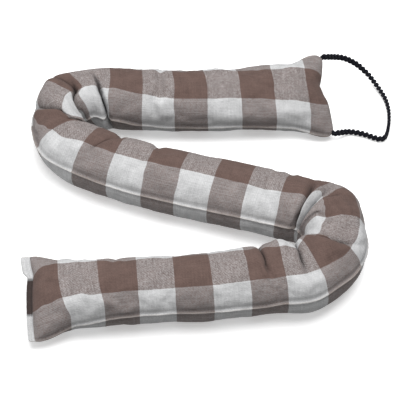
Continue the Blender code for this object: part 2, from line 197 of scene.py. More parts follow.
ROLLS = (
    Roll(0.0, 0.0, 0.0, -9.0),
    Roll(30.0, 0.0, 0.0, -8.0),
    Roll(80.0, 1.0, 9.0),
    Roll(140.0, 3.0, 11.0),
    Roll(166.0, -3.0, 6.0),
    Roll(195.0, -14.0, -6.0),
    Roll(223.0, -23.0, -10.0),
    Roll(234.0, -30.0, -8.0),
    Roll(254.0, -31.0, -2.0),
    Roll(262.0, -20.0, 6.0, -10.0),
    Roll(271.5, -2.0, 11.0, -20.0),
    Roll(275.4, 6.0, 12.0, 21.0),
    Roll(280.0, 8.0, 12.0, 16.0),
    Roll(303.0, 21.0, 14.5, 4.0),
    Roll(360.0, 21.0, 13.0),
    Roll(480.0, 20.0, 15.0),
    Roll(503.0, 25.0, 14.5),
    Roll(509.0, 26.0, 14.5, 0.0, 20.0),
    Roll(516.0, 27.5, 14.0, 0.0, 6.0),
    Roll(522.0, 28.0, 14.0),
    Roll(532.0, 20.0, 8.0),
    Roll(545.0, 8.0, 0.0),
    Roll(558.0, 4.0, -8.0),
    Roll(575.0, -2.0, -15.0),
    Roll(592.0, -2.0, -12.0, 0.0, 10.0),
    Roll(606.0, -2.0, -10.0, 0.0, 15.0),
    Roll(620.0, -2.0, -6.0),
    Roll(720.0, 0.0, -6.0),
    Roll(738.0, 0.0, -4.0),
    Roll(756.0, -4.0, -1.0),
    Roll(770.0, -12.0, 0.0),
    Roll(784.0, -16.0, 0.0),
    Roll(796.0, -12.0, 0.0),
    Roll(806.0, -4.0, 0.0),
)

EASES = (
    Ease(190.0, 30.0, 2.6),
    Ease(223.0, 13.0, 16.5),
    Ease(238.0, 20.0, 9.0),
    Ease(258.0, 18.0, 11.0),
    Ease(276.0, 30.0, 1.9),
    Ease(478.0, 22.0, 1.5),
    Ease(505.0, 10.0, 23.5),
    Ease(514.0, 22.0, 9.2),
    Ease(538.0, 22.0, 6.3),
    Ease(560.0, 45.0, 11.0),
    Ease(776.0, 30.0, 5.6),
)

CORD_END = End(reach=36.0, half_width=40.5, half_thickness=1.1, lean=20.0, height=21.0, lean_reach=90.0,
               skew=0.95, extend=1.5, ear_left=36.0, ear_right=34.0, corner=7.0,
               pinch=7.4, pinch_at=-0.17, pinch_half=0.40)
CLOSED_END = End(reach=34.0, half_width=37.0, half_thickness=1.2, lean=15.0, height=20.0, lean_reach=70.0,
                 skew=-2.3, extend=3.5, ear_left=34.0, ear_right=22.0, corner=2.0,
                 pinch=2.4, pinch_at=-0.45, pinch_half=0.35)

FOLDS = (
    Fold("dimple behind the notch", 9.0, -9.0, 9.0, 16.0, -1.6, 0.0, 0.0),
    Fold("cloth drawn along the first leg", 88.0, 20.0, 50.0, 120.0, 0.0, 2.2, 0.0),
    Fold("back cloth drawn along the first leg", 125.0, -70.0, 60.0, 62.0, 0.0, 4.0, 0.0),
    Fold("dent over the first leg", 150.0, 4.0, 4.2, 38.0, -3.2, 0.0, 2.0),
    Fold("swell below the dent", 147.0, 56.0, 8.0, 20.0, 3.2, 0.0, -8.0),
    Fold("hollow round the swell", 156.0, 50.0, 3.0, 22.0, -2.4, 0.0, -8.0),
    Fold("first tuck", 202.5, 55.0, 2.4, 60.0, -13.0, 0.0, -9.0, 1.0, 1.3),
    Fold("swell before the first tuck", 191.0, 62.0, 9.0, 44.0, 1.4, 3.0, 0.0),
    Fold("swell between the tucks", 224.0, 56.0, 11.0, 40.0, 3.4, 0.0, 14.0),
    Fold("cloth drawn into the second tuck", 226.0, 56.0, 14.0, 40.0, 0.0, 14.0, 0.0),
    Fold("nick over the swell", 209.0, -6.0, 1.5, 9.0, -1.4, 0.0, 4.0, 0.0, 1.4),
    Fold("second tuck", 238.5, 44.0, 2.8, 54.0, -13.0, 0.0, 18.0, 0.5, 1.3),
    Fold("swell after the second tuck", 254.0, 34.0, 6.0, 34.0, 2.4, 0.0, 20.0),
    Fold("crease over the shoulder", 229.0, -20.0, 1.8, 36.0, -4.6, 0.0, -5.0, 0.0, 1.3),
    Fold("swell after the shoulder", 241.0, -12.0, 8.0, 44.0, 1.6, 0.0, 0.0),
    Fold("back corner of the first bend", 231.5, -72.0, 10.0, 48.0, 6.6, 0.0, 0.0),
    Fold("low corner of the first bend", 281.0, -95.0, 12.0, 42.0, 2.5, 0.0, 0.0),
    Fold("belly over the band", 246.5, -34.0, 6.0, 44.0, 1.6, -3.0, 14.0),
    Fold("band across the bend", 253.5, -34.0, 2.2, 46.0, -5.6, 0.0, 12.0, 0.0, 1.4),
    Fold("cloth drawn over the band", 259.0, 31.0, 13.0, 26.0, 0.0, 13.5, 0.0),
    Fold("tuck at the band's end", 271.0, 30.0, 3.0, 26.0, -3.5, 0.0, 6.0),
    Fold("ridge past the band", 259.5, -32.0, 3.6, 36.0, 2.4, -2.0, 12.0),
    Fold("soft crease on the second leg", 316.0, 2.0, 3.6, 24.0, -1.4, 0.0, 20.0, 0.0, 1.6),
    Fold("dip along the back", 325.0, 52.0, 4.0, 30.0, -1.8, 0.0, 0.0),
    Fold("dip further along the back", 362.0, 50.0, 5.0, 30.0, -1.6, 0.0, 0.0),
    Fold("swell before the deep tuck", 494.0, -40.0, 8.0, 50.0, 1.8, 3.0, 0.0),
    Fold("deep tuck", 502.5, -32.0, 2.2, 54.0, -13.0, 0.0, -4.0, 0.0, 1.3),
    Fold("flap between the tucks", 507.5, -26.0, 2.4, 48.0, 3.0, -1.0, -4.0),
    Fold("shallow tuck", 512.0, -26.0, 1.7, 48.0, -7.0, 0.0, -3.0, 0.0, 1.3),
    Fold("inner cloth drawn back", 533.0, -44.0, 9.0, 24.0, 0.0, -7.0, 0.0),
    Fold("swell after the tucks", 523.0, -34.0, 7.0, 44.0, 2.4, 0.0, 0.0),
    Fold("nick above the tucks", 517.0, 20.0, 2.4, 14.0, -2.0, 0.0, 10.0, 0.0, 1.5),
    Fold("back corner of the second bend", 517.0, 78.0, 10.0, 48.0, 4.0, 0.0, 0.0),
    Fold("front corner of the second bend", 590.0, 75.0, 15.0, 48.0, 5.0, 0.0, 0.0),
    Fold("edge across the bend", 562.5, -14.0, 2.2, 52.0, -6.6, 0.0, -16.0, 0.0, 1.4),
    Fold("full swell past the edge", 573.0, -20.0, 8.0, 46.0, 4.4, -4.0, -12.0),
    Fold("crease below the swell", 588.5, -26.0, 2.3, 50.0, -7.4, 0.0, 3.0, -0.3, 1.3),
    Fold("corner after the crease", 603.0, -50.0, 8.0, 40.0, 3.6, 0.0, 0.0),
    Fold("crease on the third leg", 620.0, -30.0, 2.2, 44.0, -6.0, 0.0, -3.0, 0.0, 1.3),
    Fold("ridge on the third leg", 623.5, 6.0, 2.8, 26.0, 1.5, 0.0, -18.0),
    Fold("back cloth drawn to the closed end", 772.0, -60.0, 20.0, 75.0, 0.0, 6.5, 0.0),
    Fold("front cloth drawn from the closed end", 772.0, 80.0, 20.0, 45.0, 0.0, -5.0, 0.0),
)

SEAM_SWELL = Swell(0.25, 25.0, 4)
PUCKER = Swell(0.34, 9.0, 5)
LUMPS = (
    Swell(0.42, 46.0, 6),
    Swell(0.22, 21.0, 7),
    Swell(0.08, 7.0, 8),
)

HEM_LINES = (
    Hem(0.03, 1.7, 1.4),
    Hem(0.10, 0.3, 1.5),
    Hem(0.20, 0.3, 1.5),
    Hem(0.34, 0.9, 1.5),
    Hem(0.46, 1.3, 1.5),
    Hem(0.56, 0.5, 1.5),
    Hem(0.70, 0.8, 1.5),
    Hem(0.84, 1.2, 1.4),
    Hem(0.95, 0.9, 1.1),
    Hem(1.00, 0.1, 0.3),
)

# Route of the cord from the back corner round to the front one, after its straight first points
CORD_ROUTE = (
    (127.0, 151.0, 27.5),
    (134.0, 153.0, 24.0),
    (141.0, 153.0, 20.0),
    (147.0, 152.0, 16.0),
    (152.5, 149.5, 12.0),
    (157.5, 145.5, 9.0),
    (162.0, 139.5, 6.5),
    (166.0, 132.5, 4.8),
    (169.5, 125.0, 3.9),
    (172.0, 116.0, 3.5),
    (173.0, 105.5, 3.5),
    (172.5, 94.5, 3.5),
    (171.0, 84.5, 3.5),
    (169.0, 76.5, 3.5),
    (166.5, 71.5, 3.5),
    (162.5, 69.8, 3.5),
    (157.0, 71.5, 3.5),
    (150.0, 75.0, 3.5),
    (142.0, 77.5, 3.7),
    (134.0, 78.0, 4.3),
)

LAMPS = (
    Lamp("top_light", (0.10, 0.05, 1.6), 1.3, 31.0, (0.0, 0.0, 0.0)),
    Lamp("left_light", (-1.3, -0.15, 0.35), 0.8, 5.0, (0.0, 0.0, 0.02)),
)


def smooth(t: np.ndarray) -> np.ndarray:
    """Ease from 0 to 1 with level ends: 3t^2 - 2t^3."""
    t = np.clip(t, 0.0, 1.0)
    return t * t * (3.0 - 2.0 * t)


def along_table(table: Sequence[NamedTuple], name: str, s: np.ndarray) -> np.ndarray:
    """Read one column of a table at places along the spine, eased between its rows.

    Args:
        table: Rows in order of their column "at".
        name: The column to read.
        s: Places along the spine.

    Returns:
        The column's value at each place.
    """
    at = np.array([row.at for row in table])
    value = np.array([getattr(row, name) for row in table])
    k = np.clip(np.searchsorted(at, s, side="right") - 1, 0, len(at) - 2)
    return value[k] + (value[k + 1] - value[k]) * smooth((s - at[k]) / (at[k + 1] - at[k]))


def waves(u: np.ndarray, v: np.ndarray, size: float, seed: int, count: int = 14) -> np.ndarray:
    """Uneven swell of a surface: a sum of sine waves of about one length in random directions.

    Args:
        u: First coordinate.
        v: Second coordinate.
        size: Mean wavelength.
        seed: Seed of the directions and phases.
        count: Number of waves.

    Returns:
        Height at each point, mostly between -1 and 1.
    """
    rng = np.random.default_rng(seed)
    total = np.zeros(np.broadcast(u, v).shape)
    for way, phase, scale in zip(rng.uniform(0.0, np.pi, count), rng.uniform(0.0, 2.0 * np.pi, count),
                                 rng.uniform(0.7, 1.4, count)):
        turn = 2.0 * np.pi / (size * scale)
        total = total + np.sin(turn * (u * np.cos(way) + v * np.sin(way)) + phase)
    return total / np.sqrt(2.0 * count)


@dataclass
class LaidTube:
    """The casing's form: a filled tube along a turning spine, with flat ends and folds."""

    panel_width: float = 80.0
    laid_length: float = 806.0
    axis_height: float = 23.2
    squareness: float = 2.15
    start: tuple[float, float] = (115.5, 108.0)
    heading: float = 184.8
    spine_step: float = 0.5
    cloth_length: float = 920.0
    check_line: float = 14.75
    seam_part: float = 0.37
    gathering: float = 0.8
    least_flare: float = 0.3
    # The length share and full depth of a crease's painted shade
    crease_share: float = 0.8
    crease_depth: float = 9.0
    shift_reach: float = 30.0
    pinch_reach: float = 13.0
    pinch_edge: float = 1.15
    flat_sharpening: float = 0.5
    flat_calm: float = 0.6

    @property
    def panel(self) -> float:
        """Half the width of a panel, the distance from its middle to a side seam."""
        return 0.5 * self.panel_width

    def spine(self, s: np.ndarray) -> tuple[np.ndarray, np.ndarray, np.ndarray]:
        """Place and heading of the spine: the heading eases through each turn, and is summed up.

        Args:
            s: Distances along the spine.

        Returns:
            x, y and heading in radians at each distance.
        """
        fine = np.arange(0.0, self.laid_length + self.spine_step, self.spine_step)
        heading = np.full(fine.shape, self.heading)
        for turn in TURNS:
            heading = heading + turn.degrees * smooth((fine - turn.start) / turn.length)
        heading = np.radians(heading)
        middle = 0.5 * (heading[1:] + heading[:-1])
        x = self.start[0] + np.concatenate([[0.0], np.cumsum(np.cos(middle) * self.spine_step)])
        y = self.start[1] + np.concatenate([[0.0], np.cumsum(np.sin(middle) * self.spine_step)])
        return np.interp(s, fine, x), np.interp(s, fine, y), np.interp(s, fine, heading)

    def cloth(self, s: np.ndarray) -> np.ndarray:
        """Length of cloth used up to a place on the spine: its length plus what the folds take."""
        used = np.array(s, dtype=float)
        for ease in EASES:
            used = used + ease.extra * smooth((s - ease.start) / ease.length)
        return used

    def across_panel(self, v: np.ndarray) -> np.ndarray:
        """A cloth line's share of its panel's half width, from -1 to 1 on either panel."""
        return np.where(np.abs(v) > self.panel, np.sign(v) * self.panel_width - v, v) / self.panel

    def round_the_tube(self, s: np.ndarray, v: np.ndarray, flatness: np.ndarray) -> np.ndarray:
        """Angle of a cloth line round the tube, in degrees.

        On the filled tube the angle grows evenly with v. On a flat end the cloth lies straight
        across, so there the angle's sine does.

        Args:
            s: Places along the spine.
            v: Cloth lines, as distances from the top panel's middle.
            flatness: 0 on the filled tube, 1 at a flat end.

        Returns:
            The angle of each point.
        """
        even = QUARTER_TURN * v / self.panel
        across = np.degrees(np.arcsin(np.clip(self.across_panel(v), -1.0, 1.0)))
        across = np.where(np.abs(v) > self.panel, np.sign(v) * 2.0 * QUARTER_TURN - across, across)
        to_seam = smooth((np.abs(v) / self.panel - self.seam_part) / (1.0 - self.seam_part))
        turned = along_table(ROLLS, "checks", s)
        beside = smooth(np.abs(v) / self.check_line) * (1.0 - to_seam)
        further = np.where(v > 0.0, along_table(ROLLS, "left", s), along_table(ROLLS, "right", s))
        turned = turned + (along_table(ROLLS, "seams", s) - turned) * to_seam + further * beside
        return even + (across - even) * flatness + turned

    def fold_moves(self, s: np.ndarray, angle: np.ndarray) -> tuple[np.ndarray, np.ndarray]:
        """Sum of the folds: how far each point moves out, and how far along the tube.

        A crease, whose edge is sharper than the soft one, also gathers the cloth on both sides
        towards its middle, so that its walls stand steep.

        Args:
            s: Places along the spine.
            angle: Angles round the tube.

        Returns:
            The move out, and how far the place along the spine changes.
        """
        out = np.zeros(np.broadcast(s, angle).shape)
        drag = np.zeros(out.shape)
        for fold in FOLDS:
            turned = (angle - fold.angle) / QUARTER_TURN
            centre = fold.at + fold.slant * turned
            length = fold.length * np.maximum(1.0 + fold.flare * turned, self.least_flare)
            apart = (s - centre) / length
            reach = np.exp(-(((angle - fold.angle) / fold.spread) ** 4))
            weight = np.exp(-(np.abs(apart) ** fold.edge)) * reach
            out = out + fold.out * weight
            drag = drag + fold.drag * weight
            if fold.edge < SOFT_EDGE:
                drag = drag - self.gathering * length * apart * np.exp(-(apart**2)) * reach
        return out, drag

    def crease_shade_share(self, s: np.ndarray, v: np.ndarray) -> np.ndarray:
        """Share of painted shade: how deep in a crease each point lies, from 0 on open cloth to 1.

        Args:
            s: Places along the spine, one for each row of the grid.
            v: Cloth lines, one for each column.

        Returns:
            The share of each grid point.
        """
        s = np.asarray(s, dtype=float)[:, None]
        v = np.asarray(v, dtype=float)[None, :]
        angle = self.round_the_tube(s, v, np.zeros(np.broadcast(s, v).shape))
        depth = np.zeros(angle.shape)
        for fold in FOLDS:
            if fold.edge < SOFT_EDGE:
                turned = (angle - fold.angle) / QUARTER_TURN
                apart = (s - fold.at - fold.slant * turned) / (self.crease_share * fold.length)
                reach = (turned * QUARTER_TURN / fold.spread) ** 4
                depth = depth - fold.out * np.exp(-(apart**2) - reach)
        return np.clip(depth / self.crease_depth, 0.0, 1.0)

    def points(self, s: np.ndarray, v: np.ndarray, relief: np.ndarray | float = 0.0) -> np.ndarray:
        """Points of the casing on a grid of places along the spine and cloth lines round it.

        The section is a superellipse. Towards an end its height shrinks as a quarter circle does,
        its width grows to the flat panel's, and it leans over and sinks. Folds and relief are
        added along the section's normal, and what would be under the floor lies on it.

        Args:
            s: Places along the spine, one for each row of the grid.
            v: Cloth lines, one for each column.
            relief: Extra height of each grid point over the folds.

        Returns:
            Points, rows by columns by three.
        """
        s = np.asarray(s, dtype=float)[:, None]
        v = np.asarray(v, dtype=float)[None, :]
        shape = np.broadcast(s, v).shape
        out, drag = self.fold_moves(s, self.round_the_tube(s, v, np.zeros(shape)))
        s = s + drag
        x, y, heading = self.spine(s)
        half_height = np.broadcast_to(along_table(SECTIONS, "half_height", s), shape)
        height = np.full(shape, self.axis_height)
        lean = np.zeros(shape)
        flatness = np.zeros(shape)
        narrow = np.ones(shape)
        half_width = np.zeros(shape)
        shift = np.zeros(shape)
        flat = self.across_panel(v)
        left = np.broadcast_to(flat > 0.0, shape)
        for end, distance, way in ((CORD_END, s, 1.0), (CLOSED_END, self.laid_length - s, -1.0)):
            filled = np.sqrt(1.0 - (1.0 - np.clip(distance / end.reach, 0.0, 1.0)) ** 2)
            half_height = end.half_thickness + (half_height - end.half_thickness) * filled
            weight = np.where(left, smooth(1.0 - distance / end.ear_left),
                              smooth(1.0 - distance / end.ear_right))
            narrow = narrow - weight
            half_width = half_width + end.half_width * weight
            leaning = 1.0 - smooth(distance / end.lean_reach)
            height = height + (end.height - self.axis_height) * leaning
            lean = lean + np.radians(end.lean) * leaning
            flatness = flatness + (1.0 - filled)
            near = 1.0 - smooth(distance / self.shift_reach)
            from_corner = 1.0 - (1.0 - np.abs(flat)) * end.half_width / end.corner
            rounding = 1.0 - np.sqrt(1.0 - np.clip(from_corner, 0.0, 1.0) ** 2)
            notch = np.exp(-(np.abs((flat - end.pinch_at) / end.pinch_half) ** self.pinch_edge))
            outward = (end.extend + end.skew * flat - end.corner * rounding) * near
            outward = outward - end.pinch * notch * np.exp(-((distance / self.pinch_reach) ** 2))
            shift = shift - way * outward
        angle = self.round_the_tube(s, v, flatness)
        turn = np.radians(angle)
        side = np.where(np.sin(turn) > 0.0, along_table(SECTIONS, "left", s),
                        along_table(SECTIONS, "right", s))
        half_width = half_width + side * narrow
        power = 2.0 / self.squareness
        lateral = half_width * np.sign(np.sin(turn)) * np.abs(np.sin(turn)) ** power
        upright = power + self.flat_sharpening * flatness
        upward = half_height * np.sign(np.cos(turn)) * np.abs(np.cos(turn)) ** upright
        out = out + relief * (1.0 - self.flat_calm * flatness)
        lateral = lateral + out * np.sin(turn)
        upward = upward + out * np.cos(turn) * (1.0 - flatness)
        across = lateral * np.cos(lean) + upward * np.sin(lean)
        rise = upward * np.cos(lean) - lateral * np.sin(lean)
        return np.stack([
            x - np.sin(heading) * across + np.cos(heading) * shift,
            y + np.cos(heading) * across + np.sin(heading) * shift,
            np.maximum(height + rise, 0.0),
        ], axis=-1)


class Maths(Enum):
    """The Math node's operations that the expressions below use."""

    ADD = "ADD"
    SUBTRACT = "SUBTRACT"
    MULTIPLY = "MULTIPLY"
    DIVIDE = "DIVIDE"
    ABSOLUTE = "ABSOLUTE"
    SINE = "SINE"
    FRACT = "FRACT"
    MAXIMUM = "MAXIMUM"
    MINIMUM = "MINIMUM"


@dataclass(frozen=True)
class Socket:
    """A number in a material: expressions on it add the Math nodes that work them out."""

    shader: "Shader"
    link: bpy.types.NodeSocket

    def _maths(self, kind: Maths, first: "Socket | float", second: "Socket | float" = 0.0) -> "Socket":
        """Add one Math node of two values."""
        node = self.shader.node("ShaderNodeMath", {"operation": kind.value}, {0: first, 1: second})
        return Socket(self.shader, node.outputs[0])

    def __add__(self, other: "Socket | float") -> "Socket":
        """Sum."""
        return self._maths(Maths.ADD, self, other)

    def __radd__(self, other: float) -> "Socket":
        """Sum, from the other side."""
        return self._maths(Maths.ADD, other, self)

    def __sub__(self, other: "Socket | float") -> "Socket":
        """Difference."""
        return self._maths(Maths.SUBTRACT, self, other)

    def __rsub__(self, other: float) -> "Socket":
        """Difference, from the other side."""
        return self._maths(Maths.SUBTRACT, other, self)

    def __mul__(self, other: "Socket | float") -> "Socket":
        """Product."""
        return self._maths(Maths.MULTIPLY, self, other)

    def __rmul__(self, other: float) -> "Socket":
        """Product, from the other side."""
        return self._maths(Maths.MULTIPLY, other, self)

    def __truediv__(self, other: "Socket | float") -> "Socket":
        """Quotient."""
        return self._maths(Maths.DIVIDE, self, other)

    def absolute(self) -> "Socket":
        """Size without its sign."""
        return self._maths(Maths.ABSOLUTE, self)

    def sine(self) -> "Socket":
        """Sine of an angle in radians."""
        return self._maths(Maths.SINE, self)

    def fract(self) -> "Socket":
        """Part after the point."""
        return self._maths(Maths.FRACT, self)

    def at_least(self, other: "Socket | float") -> "Socket":
        """The larger of two."""
        return self._maths(Maths.MAXIMUM, self, other)

    def at_most(self, other: "Socket | float") -> "Socket":
        """The smaller of two."""
        return self._maths(Maths.MINIMUM, self, other)

    def ramp(self, low: float, high: float) -> "Socket":
        """Ease from 0 at low to 1 at high, which may be the smaller of the two."""
        node = self.shader.node("ShaderNodeMapRange", {"interpolation_type": "SMOOTHSTEP"},
                                {"Value": self, "From Min": low, "From Max": high})
        return Socket(self.shader, node.outputs["Result"])


class Shader:
    """A material's node tree, with one method that makes any node."""

    def __init__(self, name: str) -> None:
        """Make an empty material of that name with its Principled shader.

        Args:
            name: The material's name.
        """
        self.material = bpy.data.materials.new(name)
        self.material.use_nodes = True
        self.tree = self.material.node_tree
        self.surface = self.tree.nodes["Principled BSDF"]

    def node(self, kind: str, settings: dict | None = None, sockets: dict | None = None) -> bpy.types.Node:
        """Add a node.

        Args:
            kind: The node's type.
            settings: Attributes that are set first, such as an operation.
            sockets: Values or links of its input sockets.

        Returns:
            The node.
        """
        made = self.tree.nodes.new(kind)
        for key, value in (settings or {}).items():
            setattr(made, key, value)
        for key, value in (sockets or {}).items():
            self.plug(made.inputs[key], value)
        return made

    def plug(self, socket: bpy.types.NodeSocket, value: object) -> None:
        """Link a socket, or set its value where the value is a plain one."""
        if isinstance(value, Socket):
            self.tree.links.new(value.link, socket)
        elif isinstance(value, bpy.types.NodeSocket):
            self.tree.links.new(value, socket)
        else:
            socket.default_value = value

    def mix(self, factor: "Socket | float", first: object, second: object) -> bpy.types.NodeSocket:
        """Mix two colours."""
        node = self.node("ShaderNodeMix", {"data_type": "RGBA"}, {0: factor, 6: first, 7: second})
        return node.outputs[2]

    def noise(self, place: object, scale: float, detail: float = 2.0) -> Socket:
        """Noise between 0 and 1 with so many bumps a metre."""
        node = self.node("ShaderNodeTexNoise", {}, {"Vector": place, "Scale": scale, "Detail": detail})
        return Socket(self, node.outputs["Fac"])

    def object_place(self) -> bpy.types.NodeSocket:
        """Place on the piece, in metres."""
        return self.node("ShaderNodeTexCoord").outputs["Object"]

    def cloth_place(self, length: float, width: float) -> tuple[Socket, Socket]:
        """Place on the cloth from the piece's own UV map, in millimetres.

        Args:
            length: Length of cloth that U covers.
            width: Width of cloth that V covers, with its middle at zero.

        Returns:
            Distance along the cloth and distance across it.
        """
        uv = self.node("ShaderNodeUVMap", {"uv_map": "cloth"})
        apart = self.node("ShaderNodeSeparateXYZ", {}, {0: uv.outputs[0]})
        along = Socket(self, apart.outputs[0]) * length
        across = Socket(self, apart.outputs[1]) * width - 0.5 * width
        return along, across

    def combine(self, x: "Socket | float", y: "Socket | float") -> bpy.types.NodeSocket:
        """Vector of two numbers."""
        return self.node("ShaderNodeCombineXYZ", {}, {0: x, 1: y}).outputs[0]

    def finished(self, values: dict[str, object]) -> bpy.types.Material:
        """Plug the surface's sockets.

        Args:
            values: Values or links by the sockets' names.

        Returns:
            The material.
        """
        for name, value in values.items():
            self.plug(self.surface.inputs[name], value)
        return self.material

    def bump(self, height: Socket, depth: float, strength: float) -> bpy.types.NodeSocket:
        """Normal of a relief whose height runs from 0 to 1 over a depth in metres."""
        node = self.node("ShaderNodeBump", {}, {"Height": height, "Distance": depth, "Strength": strength})
        return node.outputs["Normal"]


@dataclass(frozen=True)
class GinghamCloth:
    """Cotton gingham: coloured warp and weft in a fine twill, matte and slightly fuzzy."""

    check: float = 29.5
    first_line: float = 19.1
    row_half: float = 14.75
    twill_pitch: float = 1.5
    # Where the hem begins along the cloth; its middle row is made brown there, as painted shade
    hem_start: float = 904.1
    brown: tuple[float, float, float, float] = (0.122, 0.081, 0.070, 1.0)
    white: tuple[float, float, float, float] = (0.505, 0.507, 0.511, 1.0)
    # Near black that the crease share mixes into the colour, as painted shade
    dark: tuple[float, float, float, float] = (0.029, 0.027, 0.027, 1.0)
    beige: tuple[float, float, float, float] = (0.560, 0.500, 0.440, 1.0)
    # How much of the near black a full crease share mixes in, as painted shade
    crease_shade: float = 0.75
    roughness: float = 0.95
    specular: float = 0.15
    sheen: float = 0.04
    sheen_roughness: float = 0.6
    soft_edge: float = 0.15
    wander: float = 0.5
    wander_scale: float = 300.0
    drift: float = 1.6
    drift_scales: tuple[float, float] = (90.0, 110.0)
    diagonal: float = 0.7071
    slub_scales: tuple[float, float] = (0.05, 1.1)
    yarn_scale: float = 760.0
    hem_edge: float = 0.2
    brown_lead: float = 0.21
    cross_show: float = 0.08
    twill_show: float = 0.04
    yarn_show: float = 0.6
    slub_show: float = 0.22
    worn_width: float = 0.9
    worn_edge: float = 0.5
    worn_share: float = 0.22
    mottle_scale: float = 120.0
    mottle_detail: float = 4.0
    mottle_share: float = 0.9
    mottle_slub: float = 0.6
    mottle_twill: float = 0.05
    mottle_yarn: float = 0.8
    shades: tuple[float, float] = (0.74, 1.26)
    relief_twill: float = 0.35
    relief_yarn: float = 1.2
    relief_slub: float = 0.6
    relief_depth: float = 0.00025
    relief_strength: float = 0.8

    def material(self, tube: LaidTube) -> bpy.types.Material:
        """Make the cloth's material.

        A check is brown where the stripe along the cloth and the stripe across it are both brown,
        white where neither is, and a fine mix of both yarns where only one is. On the hem the middle
        row is brown all across, as painted shade, and the crease share darkens the colour as painted
        shade in creases and on the hem's sunk middle.

        Args:
            tube: The tube whose cloth it is, for the length and width of its UV map.

        Returns:
            The material.
        """
        shader = Shader("gingham_cloth")
        along, across = shader.cloth_place(tube.cloth_length, 2.0 * tube.panel_width)
        place = shader.object_place()
        wander = (shader.noise(place, self.wander_scale) - 0.5) * self.wander
        drift_along = along + (shader.noise(place, self.drift_scales[0]) - 0.5) * self.drift
        drift_across = across + (shader.noise(place, self.drift_scales[1]) - 0.5) * self.drift
        # Ten whole repeats keep the number positive all along the cloth
        stripe = ((along - self.first_line + wander) / (2.0 * self.check) + 10.0).fract()
        soft = self.soft_edge / (2.0 * self.check)
        brown_column = (0.25 - (stripe - 0.75).absolute()).ramp(-soft, soft)
        from_middle = ((across / tube.panel_width + 10.5).fract() - 0.5).absolute() * tube.panel_width
        from_seam = tube.panel - from_middle
        brown_warp = (self.row_half + wander - from_middle).ramp(-self.soft_edge, self.soft_edge)
        # On the hem the middle row is brown both ways, as painted shade for the hem's shadowed middle
        hem_shade_mask = along.ramp(self.hem_start, self.hem_start + self.hem_edge)
        brown_weft_and_hem_shade = brown_column.at_least(hem_shade_mask * brown_warp)
        turn = 2.0 * np.pi / self.twill_pitch
        twill = ((drift_along + drift_across) * (turn * self.diagonal)).sine()
        counter = ((drift_along - drift_across) * (turn * self.diagonal)).sine()
        slow, quick = self.slub_scales
        slub_along = shader.noise(shader.combine(along * slow, across * quick), 1.0) - 0.5
        slub_across = shader.noise(shader.combine(along * quick, across * slow), 1.0) - 0.5
        slub = slub_along + slub_across
        yarn = shader.noise(place, self.yarn_scale) - 0.5
        weft_up = (0.5 + (brown_weft_and_hem_shade - brown_warp) * self.brown_lead + twill * counter * self.cross_show
                   + twill * self.twill_show + yarn * self.yarn_show
                   + (slub_across - slub_along) * self.slub_show).at_least(0.0).at_most(1.0)
        warp_colour = shader.mix(brown_warp, self.white, self.brown)
        weft_colour = shader.mix(brown_weft_and_hem_shade, self.white, self.brown)
        colour = shader.mix(weft_up, warp_colour, weft_colour)
        worn = (self.worn_width - from_seam).ramp(0.0, self.worn_edge) * self.worn_share
        colour = shader.mix(worn, colour, self.beige)
        mottle = (shader.noise(place, self.mottle_scale, self.mottle_detail) - 0.5) * self.mottle_share
        mottle = mottle + slub * self.mottle_slub + 0.5 + twill * self.mottle_twill + yarn * self.mottle_yarn
        dim, bright = ((shade, shade, shade, 1.0) for shade in self.shades)
        shade = shader.mix(mottle.at_least(0.0).at_most(1.0), dim, bright)
        toned = shader.node("ShaderNodeMix", {"data_type": "RGBA", "blend_type": "MULTIPLY"},
                            {0: 1.0, 6: colour, 7: shade})
        # Painted shade: the crease share darkens the colour towards the near black, in creases and on the
        # hem's sunk middle
        depth = shader.node("ShaderNodeAttribute", {"attribute_name": "crease"}).outputs["Fac"]
        painted_crease_shade = Socket(shader, depth) * self.crease_shade
        relief = twill * counter * self.relief_twill + yarn * self.relief_yarn + slub * self.relief_slub
        return shader.finished({
            "Base Color": shader.mix(painted_crease_shade, toned.outputs[2], self.dark),
            "Roughness": self.roughness,
            "Specular IOR Level": self.specular,
            "Sheen Weight": self.sheen,
            "Sheen Roughness": self.sheen_roughness,
            "Normal": shader.bump(relief, self.relief_depth, self.relief_strength),
        })


@dataclass(frozen=True)
class BlackPlait:
    """Black polyester cord with a slight sheen on its twisted yarns."""

    colour: tuple[float, float, float, float] = (0.0045, 0.0048, 0.0085, 1.0)
    light: tuple[float, float, float, float] = (0.011, 0.0115, 0.019, 1.0)
    roughness: float = 0.62
    specular: float = 0.12
    fibre_scale: float = 2500.0
    fibre_detail: float = 3.0
    fibre_range: tuple[float, float] = (0.35, 0.75)
    relief_depth: float = 0.00015
    relief_strength: float = 0.6

    def material(self) -> bpy.types.Material:
        """Make the cord's material: fine light fibres over the dark strands."""
        shader = Shader("black_plait")
        fibre = shader.noise(shader.object_place(), self.fibre_scale, self.fibre_detail)
        return shader.finished({
            "Base Color": shader.mix(fibre.ramp(*self.fibre_range), self.colour, self.light),
            "Roughness": self.roughness,
            "Specular IOR Level": self.specular,
            "Normal": shader.bump(fibre, self.relief_depth, self.relief_strength),
        })


